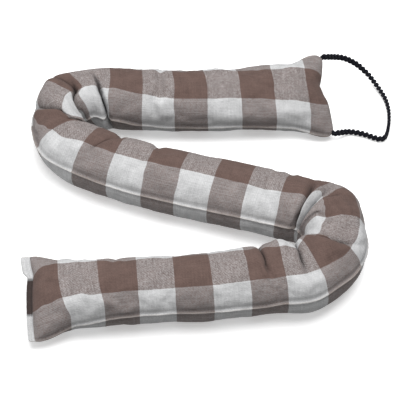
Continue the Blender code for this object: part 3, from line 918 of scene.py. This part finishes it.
def add_mesh(name: str, points: np.ndarray, faces: np.ndarray, finish: bpy.types.Material,
             uv: np.ndarray | None = None) -> bpy.types.Object:
    """Put a mesh of four-sided faces into the scene.

    Args:
        name: The piece's name.
        points: Points in metres.
        faces: Rows of four point numbers.
        finish: The piece's material.
        uv: One UV for each corner of each face, or none.

    Returns:
        The piece, at the origin.
    """
    mesh = bpy.data.meshes.new(name)
    mesh.vertices.add(len(points))
    mesh.vertices.foreach_set("co", np.ascontiguousarray(points, dtype=np.float32).ravel())
    mesh.loops.add(faces.size)
    mesh.loops.foreach_set("vertex_index", faces.astype(np.int32).ravel())
    mesh.polygons.add(len(faces))
    mesh.polygons.foreach_set("loop_start", np.arange(0, faces.size, 4, dtype=np.int32))
    mesh.update(calc_edges=True)
    if uv is not None:
        layer = mesh.uv_layers.new(name="cloth")
        layer.data.foreach_set("uv", np.ascontiguousarray(uv, dtype=np.float32).ravel())
    mesh.shade_smooth()
    mesh.materials.append(finish)
    mesh.validate()
    piece = bpy.data.objects.new(name, mesh)
    bpy.context.scene.collection.objects.link(piece)
    return piece


def grid_faces(rows: int, columns: int, closed: bool) -> np.ndarray:
    """Faces of a grid of points, row after row.

    Args:
        rows: Number of rows.
        columns: Number of columns.
        closed: Whether the last column joins the first.

    Returns:
        Rows of four point numbers.
    """
    row = np.arange(rows - 1)[:, None]
    column = np.arange(columns if closed else columns - 1)[None, :]
    after = (column + 1) % columns
    here = row * columns + column
    beside = row * columns + after
    return np.stack(np.broadcast_arrays(here, here + columns, beside + columns, beside), -1).reshape(-1, 4)


def cap_faces(columns: int) -> np.ndarray:
    """Faces that close the first ring of a closed grid, strip by strip from side to side.

    Args:
        columns: Number of columns.

    Returns:
        Rows of four point numbers. In the first and the last row two numbers are the same.
    """
    k = np.arange(columns // 2)
    return np.stack([k + 1, (columns - k - 1) % columns, (columns - k) % columns, k], -1)


@dataclass
class Settling:
    """A short cloth simulation that lets the laid casing buckle and swell under its filling.

    It runs on a coarser grid of the same tube, whose cloth is a little longer than its place and
    is pressed outwards. Soft pins hold the laid shape. The swell that is common to a wide patch
    is taken off what each point moved. The rest is capped, and held back beside the seams and on
    the bottom panel. A cubic spline carries it over to the finer grid.
    """

    step: float = 2.9
    lines: int = 60
    frames: int = 16
    pressure: float = 1.4
    slack: float = 0.07
    pin: float = 0.12
    patch: float = 16.0
    cap: float = 1.3
    end_hold: float = 26.0
    seam_hold: float = 13.0
    seam_share: float = 0.2
    bottom_share: float = 0.4

    def simulate(self, points: np.ndarray, hold: np.ndarray) -> np.ndarray:
        """Run the cloth on a closed grid of points.

        Args:
            points: Rows by columns by three, in millimetres.
            hold: How firmly each row is pinned, from 0 to 1.

        Returns:
            The settled points, in millimetres.
        """
        rows, columns = points.shape[:2]
        cap = cap_faces(columns)[1:-1]
        faces = np.concatenate([grid_faces(rows, columns, closed=True), cap,
                                cap[:, ::-1] + (rows - 1) * columns])
        scene = bpy.context.scene
        mesh = bpy.data.meshes.new("settling")
        mesh.from_pydata((points.reshape(-1, 3) * MM).tolist(), [], faces.tolist())
        piece = bpy.data.objects.new("settling", mesh)
        scene.collection.objects.link(piece)
        group = piece.vertex_groups.new(name="hold")
        for row in range(rows):
            group.add(list(range(row * columns, (row + 1) * columns)), float(hold[row]), "REPLACE")
        modifier = piece.modifiers.new("cloth", "CLOTH")
        cloth = modifier.settings
        cloth.quality = 6
        cloth.mass = 0.25
        cloth.tension_stiffness = 25.0
        cloth.compression_stiffness = 25.0
        cloth.shear_stiffness = 8.0
        cloth.bending_stiffness = 0.4
        cloth.use_pressure = True
        cloth.uniform_pressure_force = self.pressure
        cloth.shrink_min = -self.slack
        cloth.vertex_group_mass = "hold"
        cloth.pin_stiffness = 1.0
        cloth.effector_weights.gravity = 0.0
        modifier.collision_settings.use_collision = False
        modifier.point_cache.frame_start = 1
        modifier.point_cache.frame_end = self.frames
        for frame_number in range(1, self.frames + 1):
            scene.frame_set(frame_number)
        settled = piece.evaluated_get(bpy.context.evaluated_depsgraph_get()).to_mesh()
        found = np.empty(rows * columns * 3, dtype=np.float32)
        settled.vertices.foreach_get("co", found)
        scene.frame_set(1)
        bpy.data.objects.remove(piece, do_unlink=True)
        bpy.data.meshes.remove(mesh)
        return found.reshape(rows, columns, 3).astype(float) / MM

    def spline(self, at: np.ndarray, count: int, closed: bool) -> np.ndarray:
        """Weights of a uniform cubic spline: each place is a mix of the four grid lines about it.

        Args:
            at: Places, counted in grid lines.
            count: Number of grid lines.
            closed: Whether the last line is followed by the first.

        Returns:
            Places by grid lines.
        """
        base = np.floor(at).astype(int)
        t = at - base
        weights = np.zeros((len(at), count))
        shares = ((1 - t) ** 3, 3 * t**3 - 6 * t**2 + 4, -3 * t**3 + 3 * t**2 + 3 * t + 1, t**3)
        for offset, share in zip((-1, 0, 1, 2), shares):
            line = (base + offset) % count if closed else np.clip(base + offset, 0, count - 1)
            np.add.at(weights, (np.arange(len(at)), line), share / 6.0)
        return weights

    def blur(self, at: np.ndarray, length: float | None = None) -> np.ndarray:
        """Weights that average grid lines over a patch, as a bell curve does.

        Args:
            at: The grid lines' places.
            length: Length after which the lines repeat, or none.

        Returns:
            Grid lines by grid lines, each row adding up to 1.
        """
        apart = np.abs(at[:, None] - at[None, :])
        if length is not None:
            apart = np.minimum(apart, length - apart)
        weights = np.exp(-((apart / self.patch) ** 2))
        return weights / weights.sum(axis=1, keepdims=True)

    def moves(self, tube: LaidTube, s: np.ndarray, v: np.ndarray) -> np.ndarray:
        """How far the simulation moves each point of the finer grid.

        Args:
            tube: The laid tube.
            s: The finer grid's places along the spine.
            v: Its cloth lines.

        Returns:
            Moves in millimetres, rows by columns by three.
        """
        count = int(tube.laid_length / self.step) + 1
        rows = np.linspace(0.0, tube.laid_length, count)
        gap = 2.0 * tube.panel_width / self.lines
        columns = -tube.panel + gap * np.arange(self.lines)
        start = tube.points(rows, columns)
        from_end = np.minimum(rows, tube.laid_length - rows)
        hold = 1.0 - (1.0 - self.pin) * smooth(from_end / self.end_hold)
        move = self.simulate(start, hold) - start
        move = move - np.einsum("ab,bcd,ec->aed", self.blur(rows), move,
                                self.blur(columns, 2.0 * tube.panel_width), optimize=True)
        size = np.linalg.norm(move, axis=-1, keepdims=True)
        move = move * np.tanh(size / self.cap) * self.cap / np.maximum(size, 1e-6)
        beside = tube.panel - np.abs((columns + tube.panel) % tube.panel_width - tube.panel)
        free = self.seam_share + (1.0 - self.seam_share) * smooth(beside / self.seam_hold)
        below = np.where(columns > tube.panel, self.bottom_share, 1.0)
        move = move * (free * below)[None, :, None]
        along = self.spline(s / (rows[1] - rows[0]), count, closed=False)
        across = self.spline((v + tube.panel) / gap, self.lines, closed=True)
        log.info("settling: cloth moved %.2f mm on the whole, %.2f mm at most", size.mean(), size.max())
        return np.einsum("ab,bcd,ec->aed", along, move, across, optimize=True)


@dataclass
class Casing:
    """The filled casing: both panels, their side seams and their flat ends."""

    tube: LaidTube = field(default_factory=LaidTube)
    settling: Settling = field(default_factory=Settling)
    leg_step: float = 2.2
    bend_step: float = 0.7
    bends: tuple[tuple[float, float], ...] = ((180.0, 318.0), (470.0, 626.0))
    end_steps: int = 16
    seam_rise: float = 1.3
    seam_half: float = 0.75
    stitch: float = 3.2
    stitch_share: float = 0.12
    groove_depth: float = 0.55
    groove_at: float = 2.6
    groove_half: float = 1.7
    pucker_reach: float = 6.5
    lump_from_seam: float = 8.0
    seam_lines: tuple[float, ...] = (0.0, 0.35, 0.7, 1.1, 1.6, 2.3, 3.2, 4.3)
    middle_lines: int = 56
    hem_width: float = 5.0
    hem_flare: float = 3.0
    flare_from: float = 0.42
    flare_over: float = 0.18
    hem_sink: float = 1.3
    sunk_half: float = 0.44
    sunk_over: float = 0.10
    # Painted shade on the hem's sunk middle, mixed in through the crease share
    hem_shade: float = 0.95
    shade_over: float = 0.05
    hem_corner_power: int = 24

    def stations(self) -> np.ndarray:
        """Places of the grid's rings: close at the ends, closer in the bends than in the legs."""
        ease = 1.0 - np.cos(np.linspace(0.0, 0.5 * np.pi, self.end_steps + 1))
        first = CORD_END.reach * ease
        last = self.tube.laid_length - CLOSED_END.reach * ease[::-1]
        places = [first]
        marks = [first[-1], *(mark for bend in self.bends for mark in bend), last[0]]
        steps = [self.leg_step, self.bend_step] * len(self.bends) + [self.leg_step]
        for start, end, step in zip(marks[:-1], marks[1:], steps):
            places.append(np.linspace(start, end, int((end - start) / step) + 1)[1:])
        return np.concatenate([*places, last[1:]])

    def cloth_lines(self) -> np.ndarray:
        """Cloth lines round the tube, from seam to seam over both panels, closer at the seams."""
        near = np.array(self.seam_lines)
        panel = self.tube.panel
        middle = np.linspace(-panel + near[-1], panel - near[-1], self.middle_lines)
        top = np.concatenate([near[:-1] - panel, middle, (panel - near[:-1])[::-1]])[:-1]
        return np.concatenate([top, top + self.tube.panel_width])

    def relief(self, s: np.ndarray, v: np.ndarray) -> np.ndarray:
        """Height of what stands on the folds: seams, stitches, puckers and the filling's lumps.

        A seam is a thin ridge beside a groove, and the cloth next to it ripples across it. The
        ripples fade within a centimetre. Lumps are three sizes of slow swell.

        Args:
            s: Places along the spine.
            v: Cloth lines.

        Returns:
            Height of each grid point in millimetres.
        """
        s = s[:, None]
        v = v[None, :]
        used = self.tube.cloth(s)
        folded = np.where(v > self.tube.panel, self.tube.panel_width - v, v)
        beside = self.tube.panel - np.abs(folded)
        side = np.sign(folded)
        ridge = np.exp(-((beside / self.seam_half) ** 2))
        groove = np.exp(-(((beside - self.groove_at) / self.groove_half) ** 2))
        stitches = 0.5 + 0.5 * np.cos(2.0 * np.pi * used / self.stitch)
        stitched = (1.0 - self.stitch_share) + self.stitch_share * stitches
        uneven = 1.0 + SEAM_SWELL.over(used, self.tube.panel * side)
        height = self.seam_rise * uneven * ridge * stitched - self.groove_depth * groove
        pucker = PUCKER.over(used, PUCKER.length * side) * np.exp(-beside / self.pucker_reach)
        height = height + pucker * (1.0 - ridge)
        lumps = sum(lump.over(used, v) for lump in LUMPS)
        return height + lumps * smooth(beside / self.lump_from_seam)

    def hem(self, ring: np.ndarray, used: float) -> tuple[np.ndarray, np.ndarray]:
        """Rings of the closing hem: the end seam's line moved out, with its own two faces.

        The hem is wider near the back corner, and its middle is sunk. A hem line lies at its share
        of the width, and its upper and lower heights are taken square to the leaning end.

        Args:
            ring: The casing's last ring.
            used: Cloth used up to that ring.

        Returns:
            The rings, and the cloth used up to each.
        """
        half = len(ring) // 2
        top = ring[:half + 1]
        bottom = np.concatenate([ring[half:], ring[:1]])[::-1]
        middle = 0.5 * (top + bottom)
        across = self.cloth_lines()[:half + 1] / self.tube.panel
        heading = self.tube.spine(np.array([self.tube.laid_length]))[2][0]
        lean = np.radians(CLOSED_END.lean)
        way = np.array([np.cos(heading), np.sin(heading), 0.0])
        up = np.array([-np.sin(heading) * np.sin(lean), np.cos(heading) * np.sin(lean), np.cos(lean)])
        width = self.hem_width + self.hem_flare * smooth((-self.flare_from - across) / self.flare_over)
        sunk = self.hem_sink * smooth((self.sunk_half - np.abs(across)) / self.sunk_over)
        closing = np.sqrt(np.clip(1.0 - np.abs(across) ** self.hem_corner_power, 0.0, 1.0))
        rings, lengths = [], []
        for line in HEM_LINES:
            out = middle + (width * line.share)[:, None] * way
            ridge = (line.upper - sunk * np.sin(np.pi * line.share)) * closing
            upper = out + ridge[:, None] * up
            lower = out - (line.lower * closing)[:, None] * up
            rings.append(np.concatenate([upper[:-1], lower[1:][::-1]]))
            lengths.append(used + self.hem_width * line.share)
        rings = np.array(rings)
        rings[..., 2] = np.maximum(rings[..., 2], 0.0)
        return rings, np.array(lengths)

    def skin(self) -> tuple[np.ndarray, np.ndarray, np.ndarray]:
        """Points of the whole casing with its hem, about the spine's own zero.

        The hem's sunk middle gets painted shade through the crease share.

        Returns:
            The points, the cloth used up to each ring, and each point's share of painted crease shade.
        """
        s = self.stations()
        v = self.cloth_lines()
        points = self.tube.points(s, v, self.relief(s, v))
        points = points + self.settling.moves(self.tube, s, v)
        points[..., 2] = np.maximum(points[..., 2], 0.0)
        used = self.tube.cloth(s)
        hem, hem_used = self.hem(points[-1], used[-1])
        from_middle = np.abs(self.tube.across_panel(v))
        # Painted shade on the hem's sunk middle
        shade = self.hem_shade * smooth((self.sunk_half - from_middle) / self.shade_over)
        crease = np.concatenate([self.tube.crease_shade_share(s, v), np.broadcast_to(shade, hem.shape[:2])])
        return np.concatenate([points, hem]), np.concatenate([used, hem_used]), crease

    def build(self, points: np.ndarray, used: np.ndarray, crease: np.ndarray,
              place: np.ndarray) -> bpy.types.Object:
        """Make the casing as one closed skin over the CAD casing's place.

        Args:
            points: The skin's points about the spine's own zero.
            used: Cloth used up to each ring.
            crease: Each point's share of painted crease shade.
            place: Move from the spine's own zero to the part's frame.

        Returns:
            The casing, which replaces its CAD node.
        """
        v = self.cloth_lines()
        rows, columns = points.shape[:2]
        faces = grid_faces(rows, columns, closed=True)
        cap = cap_faces(columns)
        u_of = used / self.tube.cloth_length
        edge = np.concatenate([v, [v[0] + 2.0 * self.tube.panel_width]])
        v_of = (edge + self.tube.panel_width) / (2.0 * self.tube.panel_width)
        row = np.repeat(np.arange(rows - 1), columns)
        column = np.tile(np.arange(columns), rows - 1)
        corner = np.stack([
            np.stack([u_of[row], v_of[column]], -1),
            np.stack([u_of[row + 1], v_of[column]], -1),
            np.stack([u_of[row + 1], v_of[column + 1]], -1),
            np.stack([u_of[row], v_of[column + 1]], -1),
        ], axis=1)
        cap_u = np.repeat([u_of[0], u_of[-1]], len(cap))
        cap_v = np.tile(v_of[:len(cap)], 2)
        cap_uv = np.repeat(np.stack([cap_u, cap_v], -1)[:, None, :], 4, axis=1)
        faces = np.concatenate([faces, cap, cap[:, ::-1] + (rows - 1) * columns])
        uv = np.concatenate([corner, cap_uv])
        finish = GinghamCloth().material(self.tube)
        piece = add_mesh("casing", (points.reshape(-1, 3) + place) * MM, faces, finish, uv.reshape(-1, 2))
        # The crease share is kept on the points for the cloth's painted shade
        layer = piece.data.attributes.new("crease", "FLOAT", "POINT")
        layer.data.foreach_set("value", crease.astype(np.float32).ravel())
        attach(piece, "root")
        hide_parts(CASING_NODE)
        log.info("casing: %d points, %d faces", len(points) * columns, len(faces))
        return piece


def placement(points: np.ndarray) -> np.ndarray:
    """Move from the spine's own zero to the part's frame, in millimetres.

    Args:
        points: The casing's points about the spine's zero.

    Returns:
        What to add to a point so that the casing is centred on its CAD node.
    """
    low, high = (np.array(corner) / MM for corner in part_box(CASING_NODE))
    flat = points.reshape(-1, 3)
    own = 0.5 * (flat.min(axis=0) + flat.max(axis=0))
    move = 0.5 * (low + high) - own
    move[2] = 0.0
    return move


@dataclass
class CordLoop:
    """The plaited cord: three strands that swing across its width and through its thickness."""

    tube: LaidTube = field(default_factory=LaidTube)
    width: float = 6.5
    thickness: float = 3.4
    pitch: float = 12.6
    strands: int = 3
    strand_radius: float = 1.1
    bulge: float = 1.38
    waist: float = 0.82
    inset: float = 2.6
    gap: float = 0.3
    lead: float = 4.0
    step: float = 0.4
    sides: int = 12
    curve_steps: int = 24
    swing_dip: float = 0.16
    swing_peak: float = 1.1
    bulge_power: int = 8
    ply_turn: float = 4.2
    ply_depth: float = 0.08
    path_stride: int = 4

    def corner(self, line: float) -> tuple[np.ndarray, np.ndarray]:
        """Where the cord leaves the cord end: just inside its corner, a gap away from its face.

        Args:
            line: The side seam that meets the end at this corner.

        Returns:
            The point and the way out of the end.
        """
        heading = self.tube.spine(np.array([0.0]))[2][0]
        corner, inner = self.tube.points([0.0], [line, line - np.sign(line) * self.inset])[0]
        outward = -np.array([np.cos(heading), np.sin(heading), 0.0])
        start = inner + outward * (self.gap + max(0.0, float((corner - inner) @ outward)))
        return start, outward

    def route(self) -> np.ndarray:
        """Even points on a smooth curve through the cord's knots, straight out of both corners."""
        panel = self.tube.panel
        first, outward = self.corner(-panel)
        last, _ = self.corner(panel)
        knots = np.array([first, first + outward * self.lead, *CORD_ROUTE, last + outward * self.lead, last])
        before = np.vstack([first - outward * self.lead, knots[:-1]])
        after = np.vstack([knots[1:], last - outward * self.lead])
        slope = 0.5 * (after - before)
        t = np.linspace(0.0, 1.0, self.curve_steps, endpoint=False)[None, :, None]
        here, there = knots[:-1, None], knots[1:, None]
        curve = ((2 * t**3 - 3 * t**2 + 1) * here + (t**3 - 2 * t**2 + t) * slope[:-1, None]
                 + (3 * t**2 - 2 * t**3) * there + (t**3 - t**2) * slope[1:, None])
        curve = np.vstack([curve.reshape(-1, 3), knots[-1:]])
        length = np.concatenate([[0.0], np.cumsum(np.linalg.norm(np.diff(curve, axis=0), axis=1))])
        even = np.linspace(0.0, length[-1], int(round(length[-1] / self.step)) + 1)
        return np.stack([np.interp(even, length, curve[:, axis]) for axis in range(3)], axis=-1)

    def build(self, place: np.ndarray) -> bpy.types.Object:
        """Make the plait as three twisted strands in one mesh.

        Each strand swings once across the width and twice through the thickness in a pitch, and
        is a tube of two plies: its radius swells twice round, and the swelling turns along it.

        Args:
            place: Move from the spine's own zero to the part's frame.

        Returns:
            The cord, which replaces its CAD node.
        """
        path = self.route() + place
        step = np.linalg.norm(np.diff(path, axis=0), axis=1)
        distance = np.concatenate([[0.0], np.cumsum(step)])
        way = np.gradient(path, axis=0)
        way = way / np.linalg.norm(way, axis=1, keepdims=True)
        side = np.cross([0.0, 0.0, 1.0], way)
        side = side / np.linalg.norm(side, axis=1, keepdims=True)
        edge = np.cross(way, side)
        swing = 0.5 * self.width - self.bulge * self.strand_radius
        weave = 0.5 * self.thickness - self.strand_radius
        around = 2.0 * np.pi * np.arange(self.sides) / self.sides
        points, faces = [], []
        for strand in range(self.strands):
            phase = 2.0 * np.pi * (distance / self.pitch + strand / self.strands)
            swung = swing * (np.sin(phase) - self.swing_dip * np.sin(3 * phase)) / self.swing_peak
            centre = path + swung[:, None] * edge + (weave * np.sin(2 * phase))[:, None] * side
            along = np.gradient(centre, axis=0)
            along = along / np.linalg.norm(along, axis=1, keepdims=True)
            across = np.cross(along, side)
            across = across / np.linalg.norm(across, axis=1, keepdims=True)
            third = np.cross(along, across)
            twist = 2.0 * np.pi * distance / self.ply_turn
            full = self.waist + (self.bulge - self.waist) * np.abs(np.sin(phase)) ** self.bulge_power
            plies = np.cos(2.0 * (around[None, :] + twist[:, None]))
            ply = full[:, None] * (1.0 + self.ply_depth * plies)
            radius = self.strand_radius * ply
            ring = (centre[:, None, :] + (radius * np.cos(around))[..., None] * across[:, None, :]
                    + (radius * np.sin(around))[..., None] * third[:, None, :])
            count = sum(len(block) for block in points)
            points.append(ring.reshape(-1, 3))
            faces.append(grid_faces(len(path), self.sides, closed=True) + count)
        finish = BlackPlait().material()
        piece = add_mesh("plaited_cord", np.vstack(points) * MM, np.vstack(faces), finish)
        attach(piece, "root")
        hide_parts(CORD_NODE)
        tuple(path[0] * MM)
        (path[::self.path_stride] * MM).tolist()
        log.info("plaited cord: %.0f mm long", distance[-1])
        return piece


@dataclass
class Studio:
    """A pale floor under soft light, and a camera at the photo's angle."""

    elevation: float = 49.0
    distance: float = 1.3775
    focal_pixels: float = 1575.0
    image_pixels: float = 400.0
    sensor: float = 36.0
    far_clip: float = 50.0
    floor_size: float = 6.0
    floor_drop: float = 0.0002
    floor_glow: float = 0.35
    world_strength: float = 0.34

    def floor(self) -> None:
        """Lay the floor, just under what rests on it."""
        mesh = bpy.data.meshes.new("floor")
        half = 0.5 * self.floor_size
        corners = ((-half, -half), (half, -half), (half, half), (-half, half))
        mesh.from_pydata([(x, y, -self.floor_drop) for x, y in corners], [], [(0, 1, 2, 3)])
        mesh.materials.append(Shader("pale_floor").finished({
            "Base Color": (0.93, 0.93, 0.93, 1.0),
            "Roughness": 0.9,
            "Emission Color": (1.0, 1.0, 1.0, 1.0),
            "Emission Strength": self.floor_glow,
        }))
        made = bpy.data.objects.new("floor", mesh)
        made.visible_diffuse = False
        bpy.context.scene.collection.objects.link(made)

    def hang(self, lamp: Lamp) -> None:
        """Hang one light."""
        light = bpy.data.lights.new(lamp.name, "AREA")
        light.shape = "SQUARE"
        light.size = lamp.size
        light.energy = lamp.power
        made = bpy.data.objects.new(lamp.name, light)
        made.location = lamp.place
        made.rotation_euler = (Vector(lamp.aim) - Vector(lamp.place)).to_track_quat("-Z", "Y").to_euler()
        bpy.context.scene.collection.objects.link(made)

    def lights(self) -> None:
        """Light the set: an even pale world, a broad light over the top and a weaker one at the left."""
        world = bpy.data.worlds.new("studio")
        world.use_nodes = True
        background = world.node_tree.nodes["Background"]
        background.inputs["Color"].default_value = (1.0, 1.0, 1.0, 1.0)
        background.inputs["Strength"].default_value = self.world_strength
        bpy.context.scene.world = world
        for lamp in LAMPS:
            self.hang(lamp)

    def camera(self, place: np.ndarray) -> None:
        """Set the camera to look at the spine's own zero from the photo's angle.

        Args:
            place: Move from the spine's own zero to the part's frame, in millimetres.
        """
        rise = np.radians(self.elevation)
        aim = Vector(place * MM)
        offset = Vector((0.0, -np.cos(rise) * self.distance, np.sin(rise) * self.distance))
        camera = bpy.data.cameras.new("camera")
        camera.sensor_width = self.sensor
        camera.lens = self.focal_pixels * self.sensor / self.image_pixels
        camera.clip_end = self.far_clip
        made = bpy.data.objects.new("camera", camera)
        looking = (-offset).to_track_quat("-Z", "Y").to_matrix().to_4x4()
        made.matrix_world = Matrix.Translation(aim + offset) @ looking
        bpy.context.scene.collection.objects.link(made)
        bpy.context.scene.camera = made

    def build(self, place: np.ndarray) -> None:
        """Make the whole set.

        Args:
            place: Move from the spine's own zero to the part's frame, in millimetres.
        """
        self.floor()
        self.lights()
        self.camera(place)
        bpy.context.scene.view_settings.view_transform = "Standard"
        log.info("studio: camera at %.0f degrees", self.elevation)


def main() -> None:
    """Work out the casing's skin, then build the studio, the cord and the casing, in that order."""
    logging.basicConfig(level=logging.INFO, format="%(name)s %(message)s")
    casing = Casing()
    skin = casing.skin()
    place = placement(skin[0])
    Studio().build(place)
    CordLoop().build(place)
    casing.build(*skin, place)


if __name__ == "__main__":
    main()
